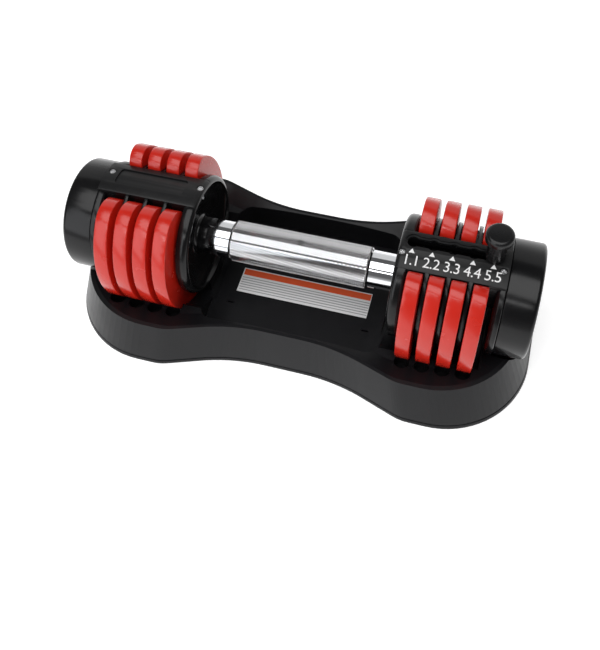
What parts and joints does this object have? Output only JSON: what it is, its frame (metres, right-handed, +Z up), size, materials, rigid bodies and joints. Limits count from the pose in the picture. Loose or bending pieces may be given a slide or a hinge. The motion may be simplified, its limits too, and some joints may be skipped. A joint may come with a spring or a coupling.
{
  "type": "adjustable dumbbell",
  "caption": "Adjustable dumbbell with a sliding weight selector on its bridge, slotted disc plates and a knurled chrome grip, resting in a waisted moulded storage tray.",
  "frame": {"origin": "centre of the bounding box at the underside of the feet", "axes": "+X along the handle towards the end with the selector knob, +Y to the back of the tray, +Z up"},
  "size_m": [0.3524, 0.1646, 0.1341],
  "materials": {
    "tray_black": "satin",
    "housing_black": "gloss",
    "cover_black": "satin",
    "plate_red": "gloss",
    "handle_chrome": "polished",
    "steel": "satin",
    "pinion_brass": "satin",
    "foot_rubber": "matt",
    "nylon": "satin",
    "carriage_black": "satin",
    "knob_black": "satin",
    "disc_silver": "brushed",
    "label": "matt"
  },
  "bodies": {
    "tray": {"tray_shell": "tray_black", "tray_base": "tray_black", "tray_feet": "foot_rubber", "tray_screws": "steel", "tray_label": "label"},
    "dumbbell": {"housing_right": "housing_black", "housing_left": "housing_black", "bridge_right": "cover_black", "bridge_left": "cover_black", "bridge_screws": "steel", "end_cap_right": "housing_black", "end_cap_left": "housing_black", "end_weights": "steel", "cap_screws": "steel", "end_discs": "disc_silver", "handle": "handle_chrome", "rod_bushes": "nylon", "pinion_pin": "steel"},
    "pinion_gear": {"pinion": "pinion_brass"},
    "selector": {"rod_right": "steel", "carriage": "carriage_black", "carriage_cap": "carriage_black", "detent_ball": "steel", "detent_spring": "steel"},
    "left_rod": {"rod_left": "steel"},
    "selector_knob": {"knob": "knob_black", "knob_stem": "steel", "knob_spring": "steel"},
    "body_plate_r1": {"plate_r1": "plate_red"},
    "body_plate_r2": {"plate_r2": "plate_red"},
    "body_plate_r3": {"plate_r3": "plate_red"},
    "body_plate_r4": {"plate_r4": "plate_red"},
    "body_plate_l1": {"plate_l1": "plate_red"},
    "body_plate_l2": {"plate_l2": "plate_red"},
    "body_plate_l3": {"plate_l3": "plate_red"},
    "body_plate_l4": {"plate_l4": "plate_red"}
  },
  "joints": [
    {"name": "lift", "type": "slide", "parent": "tray", "child": "dumbbell", "axis": [0, 0, 1], "range_m": [0, 0.12]},
    {"name": "lift_plate_r1", "type": "slide", "parent": "tray", "child": "body_plate_r1", "axis": [0, 0, 1], "range_m": [0, 0.12]},
    {"name": "lift_plate_r2", "type": "slide", "parent": "tray", "child": "body_plate_r2", "axis": [0, 0, 1], "range_m": [0, 0.12]},
    {"name": "lift_plate_r3", "type": "slide", "parent": "tray", "child": "body_plate_r3", "axis": [0, 0, 1], "range_m": [0, 0.12]},
    {"name": "lift_plate_r4", "type": "slide", "parent": "tray", "child": "body_plate_r4", "axis": [0, 0, 1], "range_m": [0, 0.12]},
    {"name": "lift_plate_l1", "type": "slide", "parent": "tray", "child": "body_plate_l1", "axis": [0, 0, 1], "range_m": [0, 0.12]},
    {"name": "lift_plate_l2", "type": "slide", "parent": "tray", "child": "body_plate_l2", "axis": [0, 0, 1], "range_m": [0, 0.12]},
    {"name": "lift_plate_l3", "type": "slide", "parent": "tray", "child": "body_plate_l3", "axis": [0, 0, 1], "range_m": [0, 0.12]},
    {"name": "lift_plate_l4", "type": "slide", "parent": "tray", "child": "body_plate_l4", "axis": [0, 0, 1], "range_m": [0, 0.12]},
    {"name": "select", "type": "slide", "parent": "dumbbell", "child": "selector", "axis": [1, 0, 0], "range_m": [-0.054, 0]},
    {"name": "left_rod_slide", "type": "slide", "parent": "dumbbell", "child": "left_rod", "axis": [1, 0, 0], "range_m": [0, 0.054]},
    {"name": "pinion_turn", "type": "hinge", "parent": "dumbbell", "child": "pinion_gear", "pos_m": [0, 0, 0.0635], "axis": [0, 0, 1], "range_deg": [0, 515.8]},
    {"name": "knob_lift", "type": "slide", "parent": "selector", "child": "selector_knob", "axis": [0, 0, 1], "range_m": [0, 0.003], "stiffness_N_per_m": 900, "springref_m": -0.002, "deforming": ["knob_spring"]}
  ],
  "couplings": [
    {"joint": "lift_plate_r1", "follows": "lift", "ratio": 1},
    {"joint": "lift_plate_r2", "follows": "lift", "ratio": 1},
    {"joint": "lift_plate_r3", "follows": "lift", "ratio": 1},
    {"joint": "lift_plate_r4", "follows": "lift", "ratio": 1},
    {"joint": "lift_plate_l1", "follows": "lift", "ratio": 1},
    {"joint": "lift_plate_l2", "follows": "lift", "ratio": 1},
    {"joint": "lift_plate_l3", "follows": "lift", "ratio": 1},
    {"joint": "lift_plate_l4", "follows": "lift", "ratio": 1},
    {"joint": "left_rod_slide", "follows": "select", "ratio": -1},
    {"joint": "pinion_turn", "follows": "select", "rad_per_m": -166.67}
  ]
}
